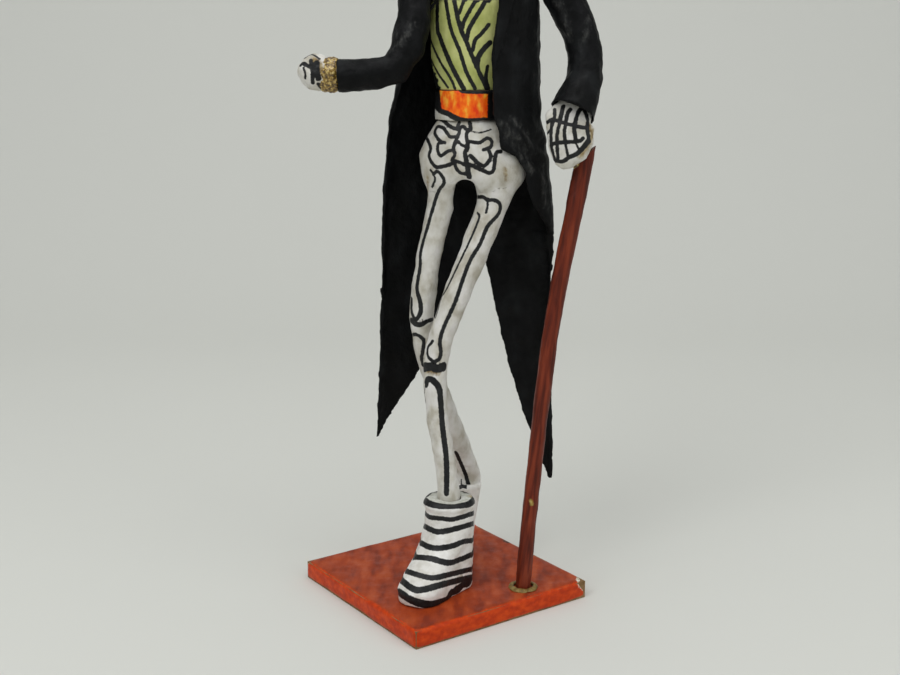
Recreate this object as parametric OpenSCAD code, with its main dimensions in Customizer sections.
// Papier-mache skeleton gentleman in a tailcoat, leaning on a cane.
// Millimetres. +Z up, the figure faces -Y, and the origin is the centre of the base's underside.
// Left and right are the figure's own: its left side is towards +X.

/* [Base] */
// Side of the square base, paper cover included
base_size = 76; // [66:1:110]
// Thickness of the base, paper cover included
base_t = 7; // [5:0.5:12]
// Turn of the square base about the vertical
base_yaw = 35; // [0:5:90]
// Thickness of the painted paper that wraps the board
cover_t = 0.6; // [0.3:0.1:1.2]

/* [Legs] */
// Height of the hip joint above the base
leg_h = 143; // [118:1:180]
// Thickness of every leg, as a factor on its wound radii
leg_build = 1; // [0.8:0.05:1.15]

/* [Boots] */
// Height of the left boot above the base
left_boot_h = 33.5; // [28:0.5:42]
// Height of the right boot above the base
right_boot_h = 28.5; // [24:0.5:36]
// Radius of the left boot's shaft
left_shaft_r = 9; // [7.5:0.1:9.6]
// Radius of the right boot's shaft
right_shaft_r = 6.6; // [6:0.1:7.4]
// Distance from the left boot's heel centre to its toe centre
left_toe = 17; // [10:0.5:20]
// Distance from the right boot's heel centre to its toe centre
right_toe = 12; // [8:0.5:14]
// Depth of the socket in a boot's top that takes the shin
boot_socket = 6; // [3:0.5:9]

/* [Body] */
// Height of the pelvis, from hip joint to waist
pelvis_h = 24; // [20:0.5:30]
// Width of the pelvis at its widest
pelvis_w = 38; // [37:0.5:46]
// Height of the sash
sash_h = 10; // [7:0.5:13]
// Height of the torso, from waist to shoulder line
torso_h = 58; // [52:0.5:68]
// Width of the chest at its widest
chest_w = 29; // [24:0.5:31]
// Thickness of the vest's paper
vest_t = 0.8; // [0.4:0.1:1.2]
// Length of the neck between shoulder line and skull
neck_h = 12; // [9:0.5:16]
// Radius of the neck
neck_r = 4.6; // [3.6:0.1:5.4]

/* [Coat] */
// Thickness of the coat's stiffened paper
coat_t = 1.2; // [0.8:0.1:1.8]
// Width of the coat at the hips
coat_w = 60; // [56:1:72]
// Clearance above the base of the left tail's tip
left_tail_gap = 33; // [24:1:60]
// Clearance above the base of the right tail's tip
right_tail_gap = 49; // [34:1:70]

/* [Arms] */
// Radius of the left sleeve
left_sleeve_r = 6.3; // [5.2:0.1:6.8]
// Radius of the right sleeve
right_sleeve_r = 5.5; // [4.8:0.1:6]
// Thickness of a hand
hand_t = 6; // [4.5:0.25:7]

/* [Cane] */
// Diameter of the cane
cane_d = 6; // [4.5:0.1:7.5]
// Depth of the cane's hole in the base
cane_socket = 2.5; // [1:0.25:4]

/* [Head] */
// Height of the skull from its base to its crown
skull_h = 38; // [31:0.5:46]
// Width of the skull
skull_w = 30; // [25:0.5:36]
// Height of the hat's crown above its brim
hat_h = 27; // [18:0.5:36]
// Radius of the hat's brim
brim_r = 23; // [19:0.5:28]
// Thickness of the hat's paper
hat_t = 1.4; // [0.8:0.1:2]

/* [Armature] */
// Diameter of the iron wire inside the figure
wire_d = 1.6; // [1:0.1:2.2]
// Clearance round the wire
wire_fit = 0.1; // [0.05:0.05:0.3]
// Clearance between pieces that fit into each other
fit = 0.15; // [0.1:0.05:0.3]

/* [Hidden] */
$fn = 48;

wire_r = wire_d / 2;
bore_r = wire_r + wire_fit;
limb_n = 16;    // sides of a wound limb
body_n = 28;    // sides of the body's rings
wire_n = 8;     // sides of a bent wire

// Heights
left_boot_top = base_t + left_boot_h;
right_boot_top = base_t + right_boot_h;
hip_z = base_t + leg_h;
waist_z = hip_z + pelvis_h;
sash_top = waist_z + sash_h;
shoulder_z = waist_z + torso_h;
skull_z = shoulder_z + neck_h;
jaw_h = 6.5;
jaw_z = skull_z - jaw_h - fit;

// ---- Geometry helpers -------------------------------------------------

function unit(v) = v / norm(v);

// Axis directions at each point of a path, averaged over its two neighbours
function headings(path) = [for (i = [0:len(path) - 1])
    unit(path[min(i + 1, len(path) - 1)] - path[max(i - 1, 0)])];

// Ring of n points round p, square to d, with radii r = [across, deep]
function ring(p, d, r, n) =
    let (u = unit(cross([0, 1, 0], d)), v = cross(d, u))
    [for (i = [0:n - 1]) p + r[0] * cos(360 * i / n) * u + r[1] * sin(360 * i / n) * v];

// Level ring round [x, y] at height z
function level_ring(x, y, z, rx, ry, n) =
    [for (i = [0:n - 1]) [x + rx * cos(360 * i / n), y + ry * sin(360 * i / n), z]];

function pair(r) = is_list(r) ? r : [r, r];

// Rings along a path, one radius or pair of radii for each point
function path_rings(path, radii, n) =
    let (d = headings(path))
    [for (i = [0:len(path) - 1]) ring(path[i], d[i], pair(radii[i]), n)];

function flat(lists) = [for (l = lists) for (x = l) x];

// Two triangles for each cell between row j and j + 1, facing out or in
function skin(rows, n, closed, base, out) = flat([for (j = [0:rows - 2])
    for (i = [0:n - (closed ? 1 : 2)])
    let (k = (i + 1) % n, a = base + j * n + i, b = base + j * n + k,
        c = b + n, d = a + n)
    out ? [[a, d, c], [a, c, b]] : [[a, c, d], [a, b, c]]]);

// Solid through closed rings, capped at both ends
module solid_loft(rings) {
    n = len(rings[0]);
    m = len(rings);
    polyhedron(points = flat(rings), faces = concat(
        [[for (i = [0:n - 1]) i]],
        skin(m, n, true, 0, true),
        [[for (i = [n - 1:-1:0]) (m - 1) * n + i]]), convexity = 6);
}

// Tube between outer and inner rings, closed by a flat rim at both ends
module hollow_loft(outer, inner) {
    n = len(outer[0]);
    m = len(outer);
    h = m * n;
    polyhedron(points = concat(flat(outer), flat(inner)), faces = concat(
        skin(m, n, true, 0, true), skin(m, n, true, h, false),
        flat([for (i = [0:n - 1]) let (k = (i + 1) % n, t = (m - 1) * n)
            [[i, k, h + k], [i, h + k, h + i],
             [t + i, h + t + k, t + k], [t + i, h + t + i, h + t + k]]])), convexity = 8);
}

// Stiff sheet between an outer and an inner grid of points
module sheet(outer, inner) {
    n = len(outer[0]);
    m = len(outer);
    h = m * n;
    polyhedron(points = concat(flat(outer), flat(inner)), faces = concat(
        skin(m, n, false, 0, true), skin(m, n, false, h, false),
        flat([for (i = [0:n - 2]) let (k = i + 1, t = (m - 1) * n)
            [[i, k, h + k], [i, h + k, h + i],
             [t + i, h + t + k, t + k], [t + i, h + t + i, h + t + k]]]),
        flat([for (j = [0:m - 2]) let (a = j * n, d = a + n, b = a + n - 1, c = b + n)
            [[d, a, h + a], [d, h + a, h + d], [b, c, h + c], [b, h + c, h + b]]])),
        convexity = 8);
}

// Straight round bar from p to q
module bar(p, q, r) {
    d = q - p;
    translate(p)
        rotate([0, acos(d.z / norm(d)), atan2(d.y, d.x)])
            cylinder(r = r, h = norm(d));
}

// ---- Boots ------------------------------------------------------------

left_heel = [2, -13];
right_heel = [8.5, 19.5];

// Outline of a boot at one height: a heel circle and a toe circle set a distance ahead
function boot_ring(heel, turn, z, ahead, toe_r, heel_r) =
    [for (i = [0:limb_n * 2 - 1]) let (a = turn + 360 * (i + 0.5) / (limb_n * 2),
        front = cos(a - turn) > 0, r = front ? toe_r : heel_r, s = front ? ahead : 0)
        [heel.x + s * cos(turn) + r * cos(a), heel.y + s * sin(turn) + r * sin(a), z]];

// Boot profile: share of the height, share of the toe length, toe and heel radius factors
boot_profile = [[0, 1, 0.88, 0.93], [0.13, 1, 0.92, 0.96], [0.26, 0.85, 0.86, 0.96],
    [0.38, 0.55, 0.86, 0.97], [0.52, 0.2, 0.95, 0.97], [0.72, 0, 0.98, 0.98],
    [0.94, 0, 1, 1], [1, 0, 0.92, 0.92]];

module boot(heel, turn, high, toe, shaft_r, shin_r) {
    difference() {
        solid_loft([for (s = boot_profile)
            boot_ring(heel, turn, base_t + s[0] * high, s[1] * toe, s[2] * shaft_r, s[3] * shaft_r)]);
        translate([heel.x, heel.y, base_t + high - boot_socket])
            cylinder(r = shin_r + fit, h = boot_socket + 1);
        translate([heel.x, heel.y, base_t - 1]) cylinder(r = bore_r, h = high);
    }
}

module left_boot() {
    color("white") boot(left_heel, -126, left_boot_h, left_toe, left_shaft_r, left_ankle_r);
}

module right_boot() {
    color("white") boot(right_heel, -108, right_boot_h, right_toe, right_shaft_r, right_ankle_r);
}

// ---- Legs -------------------------------------------------------------

// Leg stations from hip to boot: x, y, share of the height between boot top and hip, radius
left_leg = stations([[19, 1, 1, 6.6], [17, 0, 0.939, 5.4], [12, -2.5, 0.826, 5.2], [3.8, -5.5, 0.642, 4.8],
    [-0.7, -7, 0.534, 4.5], [-3, -8, 0.447, 4.4], [-3, -9, 0.376, 4.1], [-1.9, -10.5, 0.243, 3.8],
    [-0.5, -11.5, 0.172, 3.8], [1, -12.5, 0.079, 4], [2, -13, 0.02, 4.1]], left_boot_top);
right_leg = stations([[0.5, 3, 1, 5.3], [-1, 3, 0.946, 4.6], [-3.2, 3, 0.878, 4.5], [-5.5, 3, 0.78, 4.4],
    [-7, 2.5, 0.687, 4.7], [-7.8, 2.2, 0.59, 4.6], [-6.8, 3, 0.501, 4.4], [-4.3, 6, 0.403, 4],
    [1.2, 11, 0.257, 3.8], [4.5, 14, 0.178, 3.8], [7.2, 17.5, 0.1, 3.9], [8.5, 19.5, 0.02, 3.9]],
    right_boot_top);
knee = 5;       // index of each leg's knee station
left_ankle_r = left_leg[len(left_leg) - 1][3] * leg_build;
right_ankle_r = right_leg[len(right_leg) - 1][3] * leg_build;

// Leg stations with each share turned to a height
function stations(list, boot_top) = [for (s = list)
    [s[0], s[1], boot_top + s[2] * (hip_z - boot_top), s[3]]];

function leg_point(s) = [s[0], s[1], s[2]];

// The leg's axis, ending straight down in the boot's socket
function leg_path(leg, heel, boot_top) = concat([for (s = leg) leg_point(s)],
    [[heel.x, heel.y, boot_top - boot_socket + fit]]);

function leg_radii(leg) = concat([for (s = leg) s[3] * leg_build], [leg[len(leg) - 1][3] * leg_build]);

function slice(list, a, b) = [for (i = [a:b]) list[i]];

// Rings of a leg with level ends, so that thigh and pelvis meet on a plane
function leg_rings(path, radii) =
    let (d = headings(path), last = len(path) - 1)
    [for (i = [0:last]) ring(path[i], i == 0 || i >= last - 1 ? [0, 0, -1] : d[i],
        pair(radii[i]), limb_n)];

function bores(radii) = [for (r = radii) bore_r];

left_path = leg_path(left_leg, left_heel, left_boot_top);
right_path = leg_path(right_leg, right_heel, right_boot_top);

module leg_part(path, radii, a, b) {
    hollow_loft(slice(leg_rings(path, radii), a, b), slice(leg_rings(path, bores(radii)), a, b));
}

module left_thigh() { color("ivory") leg_part(left_path, leg_radii(left_leg), 0, knee); }
module left_shin() { color("ivory") leg_part(left_path, leg_radii(left_leg), knee, len(left_leg)); }
module right_thigh() { color("ivory") leg_part(right_path, leg_radii(right_leg), 0, knee); }
module right_shin() { color("ivory") leg_part(right_path, leg_radii(right_leg), knee, len(right_leg)); }

// A leg's wire runs from the board up the leg's axis and ends straight inside the pelvis
wire_in_pelvis = 12;    // length of each leg wire above the hip joint
wire_foot_z = base_t / 3;   // the leg wires stop short of the base's underside

module leg_wire(path, heel) {
    top = path[0] + [0, 0, wire_in_pelvis];
    solid_loft(concat([ring(top, [0, 0, -1], pair(wire_r), limb_n)],
        leg_rings(path, [for (p = path) wire_r]),
        [ring([heel.x, heel.y, wire_foot_z], [0, 0, -1], pair(wire_r), limb_n)]));
}

module left_leg_wire() { color("dimgray") leg_wire(left_path, left_heel); }
module right_leg_wire() { color("dimgray") leg_wire(right_path, right_heel); }

// ---- Pelvis, torso and neck -------------------------------------------

// Pelvis stations: share of its height, centre x, half width factor, half depth
pelvis_profile = [[0, 10.4, 0.84, 8], [0.1, 10.6, 0.92, 9.4], [0.22, 10.6, 0.98, 10.3], [0.5, 9.8, 0.97, 10.8],
    [0.78, 8.9, 0.76, 9.3], [1, 8.6, 0.56, 7.6]];
crotch_x = 7.6;
crotch_r = 4.3;     // radius of the arch between the thighs
// Torso stations: share of its height, centre x, half width factor, half depth
torso_profile = [[0, 8.6, 0.7, 7.4], [0.17, 8.8, 0.7, 7.4], [0.36, 9.5, 0.9, 8.6], [0.55, 10.3, 0.97, 9.2],
    [0.72, 11, 1, 9.4], [0.86, 12, 0.98, 8.8], [0.94, 12.5, 0.8, 7.6], [1, 12.8, 0.45, 6.2]];
body_y = 2;     // depth of the body's centre
spine_y = 3.4;  // the spine wire passes behind the arms' wire
neck_x = 12.8;

function column(profile, i, t) = lookup(t, [for (s = profile) [s[0], s[i]]]);

// Torso outline at height z, grown by g
function torso_ring(z, g) =
    let (t = (z - waist_z) / torso_h)
    level_ring(column(torso_profile, 1, t), body_y, z, column(torso_profile, 2, t) * chest_w / 2 + g,
        column(torso_profile, 3, t) + g, body_n);

spine_foot = [8.9, spine_y, hip_z + 8];
spine_head = [neck_x, spine_y, skull_z + skull_h / 2];

module spine_bore() { bar(spine_foot, spine_head, bore_r); }

module spine_wire() { color("dimgray") bar(spine_foot, spine_head, wire_r); }

module pelvis() {
    color("ivory") difference() {
        solid_loft([for (s = pelvis_profile)
            level_ring(s[1], body_y, hip_z + s[0] * pelvis_h, s[2] * pelvis_w / 2, s[3], body_n)]);
        translate([crotch_x, body_y, hip_z]) rotate([90, 0, 0])
            solid_loft([for (z = [-20, 20]) level_ring(0, 0, z, crotch_r, crotch_r, body_n)]);
        spine_bore();
        for (leg = [left_leg, right_leg])
            translate(leg_point(leg[0]) - [0, 0, 1])
                cylinder(r = bore_r, h = wire_in_pelvis + 1 + wire_fit);
    }
}

module torso_core() {
    color("tan") difference() {
        solid_loft([for (s = torso_profile) torso_ring(waist_z + s[0] * torso_h, 0)]);
        spine_bore();
        bar(right_arm[0] - [1, 0, 0], left_arm[0] + [1, 0, 0], bore_r);
    }
}

// Heights from z0 to z1 that take in every torso station between them
function torso_levels(z0, z1) = concat([z0],
    [for (s = torso_profile) let (z = waist_z + s[0] * torso_h) if (z > z0 + 0.5 && z < z1 - 0.5) z], [z1]);

module wrap(z0, z1, gap, thick) {
    zs = torso_levels(z0, z1);
    hollow_loft([for (z = zs) torso_ring(z, gap + thick)], [for (z = zs) torso_ring(z, gap)]);
}

sash_t = 1.3;
vest_top = waist_z + 0.69 * torso_h;

module sash() { color("darkorange") wrap(waist_z, sash_top, fit, sash_t); }
module vest() { color("darkkhaki") wrap(sash_top + fit, vest_top, fit, vest_t); }

module shirt_front() {
    zs = torso_levels(vest_top + fit, shoulder_z);
    span = [for (i = [16:1:26]) i];     // the ring's points across the chest
    color("white") sheet([for (z = zs) let (r = torso_ring(z, fit + vest_t)) [for (i = span) r[i]]],
        [for (z = zs) let (r = torso_ring(z, fit)) [for (i = span) r[i]]]);
}

module neck() {
    color("ivory") difference() {
        translate([neck_x, body_y, shoulder_z]) cylinder(r = neck_r, h = neck_h);
        spine_bore();
    }
}

collar_h = 6;
collar_gap = 0.6;
collar_t = 0.8;

module shirt_collar() {
    color("white") translate([neck_x, body_y, shoulder_z]) difference() {
        cylinder(r = neck_r + collar_gap + collar_t, h = collar_h);
        translate([0, 0, -1]) cylinder(r = neck_r + collar_gap, h = collar_h + 2);
    }
}

tie_half = 3.5;     // half the height of the tie's wings
tie_knot_r = 2;
tie_z = jaw_z - fit - tie_half;
tie_floor_z = tie_z - tie_half;
// The knot rests on the shirt front at its lower edge
tie_y = body_y - column(torso_profile, 3, (tie_floor_z - waist_z) / torso_h) - vest_t - 2 * fit - tie_knot_r;

// Bow tie: a knot, and two wings that spread from it
module bow_tie() {
    wing = 9;
    root_half = 1.5;
    wing_half_t = 1;
    color("darkorange") translate([neck_x, tie_y, tie_z]) {
        translate([0, 0, -tie_knot_r]) cylinder(r = tie_knot_r, h = 2 * tie_knot_r);
        for (s = [-1, 1])
            translate([s * (tie_knot_r + fit), 0, 0]) solid_loft([for (k = [0, 1])
                let (x = s * (k == (s > 0 ? 0 : 1) ? 0 : wing), h = x == 0 ? root_half : tie_half)
                [for (p = [[-1, -1], [1, -1], [1, 1], [-1, 1]]) [x, p[0] * wing_half_t, p[1] * h]]]);
    }
}

// ---- Arms and hands ---------------------------------------------------

shoulder_x = chest_w / 2 + 0.8;
arm_y = 0.6;
arm_z = shoulder_z - 8;
left_arm = [for (p = [[0, 0, 0], [4, 0.4, -0.5], [11, 0.2, -4], [15.5, -0.6, -12], [19, -1.6, -20],
    [21.3, -2.6, -27], [21, -4.8, -35], [19, -8.4, -41.4], [18.5, -9, -42.4], [16.4, -11.2, -46.9]])
    [12 + shoulder_x, arm_y, arm_z] + p];
right_arm = [for (p = [[0, 0, 0], [-3.8, -0.8, -0.5], [-6, -7.4, -7.5], [-6.4, -11.4, -16.5],
    [-8.8, -13.6, -26], [-12.5, -15, -32.3], [-20, -15.8, -34], [-27, -16.2, -34.4], [-27.8, -16.2, -34.4],
    [-32, -16.4, -34.5]])
    [12 - shoulder_x, arm_y, arm_z] + p];
// Sleeve radius factors along each arm; the last two stations are the cuff's mouth
left_sleeve_f = [0.95, 1, 1.05, 1.05, 1.03, 1, 1, 1.08, 1.12, 1.28];
right_sleeve_f = [0.95, 1, 1.02, 1.02, 1.06, 1, 0.98, 1, 1, 1.03];
cuff_t = 1;

module sleeve(arm, factors, r) {
    last = len(arm) - 1;
    outer = [for (f = factors) f * r];
    inner = [for (i = [0:last]) i < last - 1 ? bore_r : outer[i] - cuff_t];
    hollow_loft(path_rings(arm, outer, limb_n), path_rings(arm, inner, limb_n));
}

module left_sleeve() { color("#222222") sleeve(left_arm, left_sleeve_f, left_sleeve_r); }
module right_sleeve() { color("#222222") sleeve(right_arm, right_sleeve_f, right_sleeve_r); }

module arms_wire() {
    path = concat([for (i = [len(right_arm) - 1:-1:0]) right_arm[i]], left_arm);
    color("dimgray") solid_loft(path_rings(path, [for (p = path) wire_r], wire_n));
}

// Hand from the bottom of the cuff: offsets from the cuff's mouth, with radii [across, deep]
left_hand_path = concat([left_arm[8]], [for (p = [[-0.4, -1.2, -2], [-0.4, -2, -5], [-0.6, -2.4, -9],
    [-1.6, -2.5, -13], [-3.2, -2.5, -16.5], [-4.2, -2.5, -18.3]]) left_arm[9] + p]);
left_hand_r = [[4.4, 0.7], [6.6, 0.85], [7.8, 1], [8, 1], [7, 0.9], [4.2, 0.7], [1.6, 0.5]];
right_hand_path = concat([right_arm[8]], [for (p = [[-2, 0, 0.2], [-5, 0, 0.8], [-8.5, 0.2, 1.4],
    [-11, 0.5, 1.8], [-12.8, 0.8, 2]]) right_arm[9] + p]);
right_hand_r = [[3.6, 0.8], [4.4, 1], [6, 1.25], [6, 1.3], [4.2, 1.1], [1.8, 0.6]];
hand_bore_r = bore_r + 0.15;    // the wire bends a little at the cuff

module hand(path, radii, wire_at) {
    difference() {
        solid_loft(path_rings(path, [for (r = radii) [r[0], r[1] * hand_t / 2]], limb_n));
        over = (wire_at[1] - wire_at[0]) / 4;
        bar(wire_at[0] - over, wire_at[1] + over, hand_bore_r);
    }
}

module left_hand() { color("white") hand(left_hand_path, left_hand_r, [left_arm[8], left_arm[9]]); }
module right_hand() { color("white") hand(right_hand_path, right_hand_r, [right_arm[8], right_arm[9]]); }

// ---- Base and cane ----------------------------------------------------

module base_square(size, z0, z1) {
    rotate([0, 0, base_yaw])
        translate([-size / 2, -size / 2, z0]) cube([size, size, z1 - z0]);
}

module base_holes() {
    for (p = [left_heel, right_heel])
        translate([p.x, p.y, wire_foot_z]) cylinder(r = bore_r, h = base_t);
    cane_hole();
}

module base_board() {
    color("burlywood") difference() {
        base_square(base_size - 2 * cover_t, 0, base_t - cover_t);
        base_holes();
    }
}

module base_cover() {
    color("orangered") difference() {
        base_square(base_size, 0, base_t);
        base_square(base_size - 2 * cover_t, -1, base_t - cover_t);
        base_holes();
    }
}

// The cane leans from a hole in the base to the back of the left hand
cane_stand = [28.8, -16];
cane_clear = 0.6;   // between the back of the left hand and the leaning cane, filled with glue
cane_top = [47.3, left_hand_path[3].y + (hand_t + cane_d) / 2 + cane_clear, hip_z + 17];
cane_floor = [cane_stand.x, cane_stand.y, base_t];
cane_foot = cane_floor - cane_socket * unit(cane_top - cane_floor);

// Slanted hole for the cane's foot
module cane_hole() {
    hole_n = 32;
    lean = unit(cane_top - cane_foot);
    hole_r = [cane_d / 2 + fit, cane_d / 2 + fit];
    solid_loft([ring(cane_foot, lean, hole_r, hole_n), ring(cane_top, lean, hole_r, hole_n)]);
}

module cane() {
    color("saddlebrown") bar(cane_foot, cane_top, cane_d / 2);
}

module cane_foot_glue() {
    glue_h = 1.2;
    color("goldenrod") difference() {
        translate([cane_stand.x, cane_stand.y, base_t])
            cylinder(r1 = cane_d / 2 + 2, r2 = cane_d / 2 + 1, h = glue_h);
        cane_hole();
    }
}

// ---- Coat -------------------------------------------------------------

left_tip = base_t + left_tail_gap;
right_tip = base_t + right_tail_gap;
vent_z = hip_z - 23;        // where the tails part at the back
hem_z = hip_z - 17;         // where the left front's edge reaches the side
coat_top = shoulder_z + 1;
coat_half = coat_w / 2;

// Coat outline by height: centre x, centre y, half width, half depth
coat_cx = [[left_tip, 7.2], [vent_z, 8.5], [hip_z, 8.2], [waist_z, 7.6], [waist_z + 0.36 * torso_h, 9.6],
    [waist_z + 0.7 * torso_h, 12.6], [shoulder_z, 12.6]];
coat_cy = [[left_tip, 9], [vent_z, 7], [hip_z, 4.5], [waist_z, 2.5], [shoulder_z, 2]];
coat_ax = [[left_tip, coat_half + 3.5], [right_tip, coat_half + 3], [right_tip + 16, coat_half + 1.9],
    [vent_z, coat_half + 1], [hip_z, coat_half - 0.3],
    [waist_z, coat_half - 3.2], [waist_z + 0.36 * torso_h, coat_half - 6.5],
    [waist_z + 0.7 * torso_h, chest_w / 2 + 5.2], [waist_z + 0.86 * torso_h, chest_w / 2 + 2.8],
    [waist_z + 0.94 * torso_h, 0.4 * chest_w + 2.8], [coat_top, 0.25 * chest_w + 1.5]];
coat_ay = [[left_tip, 8], [vent_z, 11], [hip_z, 13], [waist_z, 13.4], [waist_z + 0.7 * torso_h, 13.4],
    [waist_z + 0.86 * torso_h, 12.2], [waist_z + 0.95 * torso_h, 10.4], [coat_top, 8.6]];
// Angle of each front edge by height; 0 points to +X and 90 to the back
left_edge = [[hem_z, 2], [hip_z - 12, -18], [hip_z - 6, -36], [hip_z, -42], [hip_z + 7, -44],
    [hip_z + 12, -50], [hip_z + 14.5, -63], [waist_z + 3, -68], [waist_z + 0.36 * torso_h, -73],
    [waist_z + 0.7 * torso_h, -71], [coat_top, -55]];
right_edge = [[vent_z, 180], [hip_z, 184], [waist_z, 190], [waist_z + 0.36 * torso_h, 198],
    [waist_z + 0.6 * torso_h, 210], [waist_z + 0.8 * torso_h, 232], [coat_top, 242]];
left_seam = 38;     // angle of the seam between back and left front
right_seam = 142;
front_top = tie_floor_z - fit;

// Point of the coat's surface at height z and angle a, set out by g
function coat_point(z, a, g) = [lookup(z, coat_cx) + (lookup(z, coat_ax) + g) * cos(a),
    lookup(z, coat_cy) + (lookup(z, coat_ay) + g) * sin(a), z];

// Panel between two edges, each an angle by height; it lies between set-outs g0 and g0 + t
module panel(zs, edge0, edge1, cols, g0, t) {
    angles = [for (z = zs) let (a = lookup(z, edge0), b = lookup(z, edge1))
        [for (i = [0:cols]) a + (b - a) * i / cols]];
    sheet([for (j = [0:len(zs) - 1]) [for (a = angles[j]) coat_point(zs[j], a, g0 + t)]],
        [for (j = [0:len(zs) - 1]) [for (a = angles[j]) coat_point(zs[j], a, g0)]]);
}

// Heights from z0 to z1 that take in every coat station between them, so that seams match
function coat_levels(z0, z1) = concat([z0], [for (z = [vent_z, hem_z, hip_z - 12, hip_z - 6, hip_z,
    hip_z + 7, hip_z + 12, hip_z + 14.5, waist_z, waist_z + 0.18 * torso_h, waist_z + 0.36 * torso_h,
    waist_z + 0.53 * torso_h, waist_z + 0.7 * torso_h, waist_z + 0.78 * torso_h, waist_z + 0.86 * torso_h,
    waist_z + 0.94 * torso_h]) if (z > z0 + 0.5 && z < z1 - 0.5) z], [z1]);

function levels(a, b, steps) = [for (i = [0:steps]) a + (b - a) * i / steps];
function straight(angle) = [[0, angle], [1000, angle]];

armhole_room = 1;   // a sleeve bends inside its straight armhole
armhole_start = 4;  // length of the armhole's cut inside the coat

module coat_panel(zs, edge0, edge1, cols, arm, r) {
    color("#1c1c1c") difference() {
        panel(zs, edge0, edge1, cols, -coat_t, coat_t);
        bar(arm[0] + armhole_start * unit(arm[0] - arm[2]), arm[2], r * 1.05 + armhole_room);
    }
}

module coat_left_front() {
    coat_panel(coat_levels(hem_z, front_top), left_edge, straight(left_seam), 6, left_arm, left_sleeve_r);
}

module coat_right_front() {
    coat_panel(coat_levels(vent_z, front_top), straight(right_seam), right_edge, 6,
        right_arm, right_sleeve_r);
}

module coat_back() {
    color("#1c1c1c") panel(coat_levels(vent_z, coat_top), straight(left_seam),
        straight(right_seam), 12, -coat_t, coat_t);
}

vent_a = 80;        // angle where the vent opens

module coat_left_tail() {
    color("#1c1c1c") {
        panel(levels(left_tip, vent_z, 7), [[left_tip, 4], [vent_z, 2]],
            [[left_tip, 7], [left_tip + 9, 30], [left_tip + 28, 50], [vent_z - 28, 66],
                [vent_z, vent_a - fit]],
            6, -coat_t, coat_t);
        panel(levels(vent_z, hem_z, 1), [[vent_z, 2], [hem_z, 2]], straight(left_seam), 1, -coat_t, coat_t);
    }
}

module coat_right_tail() {
    color("#1c1c1c") panel(levels(right_tip, vent_z, 7), [[right_tip, 173], [right_tip + 5, 157],
        [right_tip + 24, 123], [vent_z - 23, 102], [vent_z, vent_a + fit]],
        [[right_tip, 176], [vent_z, 180]], 6, -coat_t, coat_t);
}

lapel_t = 0.9;
lapel_a = 15;       // angle that a lapel spans at its widest

module left_lapel() {
    z0 = waist_z + 0.3 * torso_h;
    z1 = waist_z + 0.72 * torso_h;
    z2 = waist_z + 0.9 * torso_h;
    color("#262626") panel(coat_levels(z0, z2), left_edge, [[z0, lookup(z0, left_edge) + 2],
        [z1, lookup(z1, left_edge) + lapel_a], [z2, lookup(z2, left_edge) + lapel_a * 2 / 3]],
        3, fit, lapel_t);
}

module right_lapel() {
    z0 = waist_z + 0.74 * torso_h;
    z1 = waist_z + 0.93 * torso_h;
    color("#262626") panel(coat_levels(z0, z1), [[z0, lookup(z0, right_edge) - lapel_a / 5],
        [z1, lookup(z1, right_edge) - lapel_a / 2]], right_edge, 3, fit, lapel_t);
}

module coat_collar() {
    collar_z = levels(coat_top + fit, coat_top + 6, 2);
    r = [9.6, 9.2, 10];
    span = levels(-20, 200, 12);
    wall = [for (g = [coat_t, 0]) [for (j = [0:2])
        [for (a = span) [neck_x + (r[j] + g) * cos(a), body_y + (r[j] + g) * sin(a), collar_z[j]]]]];
    color("#262626") sheet(wall[0], wall[1]);
}

// ---- Head and hat -----------------------------------------------------

// Skull stations: share of its height, then half width, front reach and back reach as shares of skull_w / 2
skull_profile = [[0, 0.5, 0.54, 0.54], [0.12, 0.66, 0.8, 0.74], [0.28, 0.82, 0.88, 0.94],
    [0.45, 0.96, 0.91, 1.06], [0.62, 1, 0.97, 1.09], [0.78, 0.93, 0.91, 1.02], [0.9, 0.74, 0.7, 0.8],
    [0.97, 0.48, 0.45, 0.5], [1, 0.2, 0.18, 0.2]];
skull_y = 1;

function skull_ring(z) = let (t = (z - skull_z) / skull_h)
    [for (i = [0:body_n - 1]) let (a = 360 * i / body_n)
        [neck_x + column(skull_profile, 1, t) * skull_w / 2 * cos(a),
         skull_y + column(skull_profile, sin(a) < 0 ? 2 : 3, t) * skull_w / 2 * sin(a), z]];

module skull() {
    eye_r = 3.6;
    color("ivory") difference() {
        solid_loft([for (s = skull_profile) skull_ring(skull_z + s[0] * skull_h)]);
        spine_bore();
        for (s = [-1, 1])
            translate([neck_x + s * skull_w * 0.2, skull_y - skull_w * 0.49, skull_z + 0.5 * skull_h])
                sphere(r = eye_r);
    }
}

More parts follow.
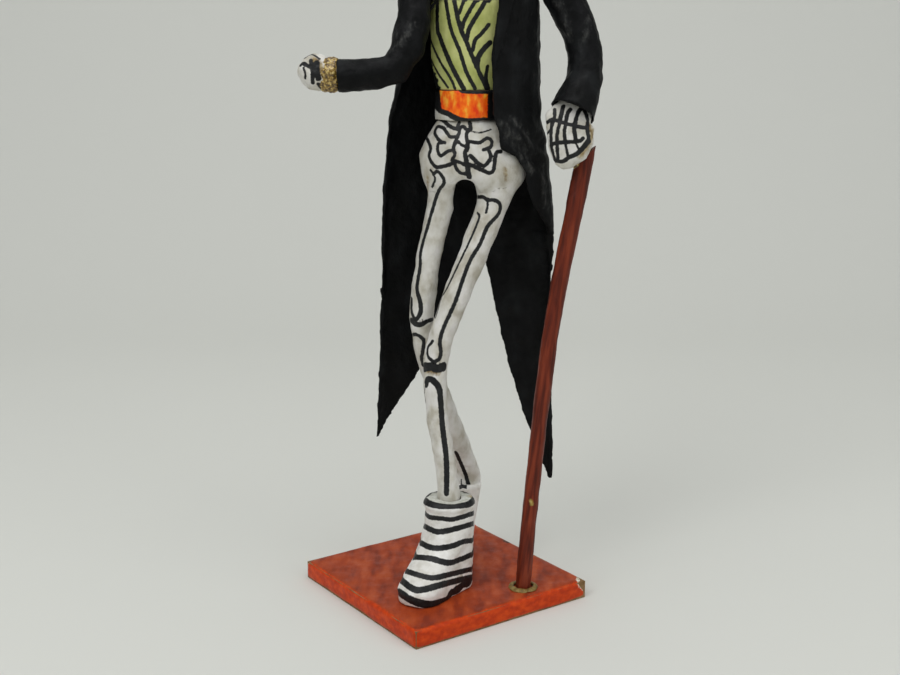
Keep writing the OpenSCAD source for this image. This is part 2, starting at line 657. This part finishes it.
// Lower jaw: a horseshoe under the front of the skull
module jaw() {
    jaw_out = 9.5;
    jaw_in = neck_r + collar_gap + collar_t + fit;
    color("ivory") translate([neck_x, skull_y, jaw_z + jaw_h / 2]) difference() {
        translate([0, -3, -jaw_h / 2]) cylinder(r1 = jaw_out - 2, r2 = jaw_out, h = jaw_h);
        translate([0, body_y - skull_y, -jaw_h]) cylinder(r = jaw_in, h = jaw_h * 2);
        translate([-20, body_y - skull_y, -jaw_h]) cube([40, 20, jaw_h * 2]);
    }
}

brim_z = skull_z + 0.78 * skull_h;
hat_in = skull_w / 2 * 1.04;
hat_back = 0.8;     // the skull's depth is centred behind its axis
hat_tilt = 5;       // lean of the hat towards the cane

module hat_frame() {
    translate([neck_x, skull_y + hat_back, brim_z]) rotate([0, hat_tilt, 0]) children();
}

module hat_brim() {
    color("#1c1c1c") hat_frame() difference() {
        cylinder(r = brim_r, h = hat_t);
        translate([0, 0, -1]) cylinder(r = hat_in, h = hat_t + 2);
    }
}

module hat_crown() {
    color("#1c1c1c") hat_frame() translate([0, 0, hat_t]) difference() {
        cylinder(r1 = hat_in + hat_t, r2 = hat_in + hat_t + 1, h = hat_h);
        translate([0, 0, -1]) cylinder(r = hat_in, h = hat_h + 1 - hat_t);
    }
}

module hat_band() {
    band_h = 5.5;
    band_t = 0.7;
    grow = band_h / hat_h;
    color("darkorange") hat_frame() translate([0, 0, hat_t]) difference() {
        cylinder(r = hat_in + hat_t + grow + fit + band_t, h = band_h);
        translate([0, 0, -1]) cylinder(r = hat_in + hat_t + grow + fit, h = band_h + 2);
    }
}

base_board();
base_cover();
cane();
cane_foot_glue();
left_boot();
right_boot();
left_leg_wire();
right_leg_wire();
left_shin();
right_shin();
left_thigh();
right_thigh();
pelvis();
spine_wire();
torso_core();
sash();
vest();
shirt_front();
neck();
shirt_collar();
bow_tie();
arms_wire();
left_sleeve();
right_sleeve();
left_hand();
right_hand();
coat_back();
coat_left_front();
coat_right_front();
coat_left_tail();
coat_right_tail();
left_lapel();
right_lapel();
coat_collar();
skull();
jaw();
hat_brim();
hat_crown();
hat_band();
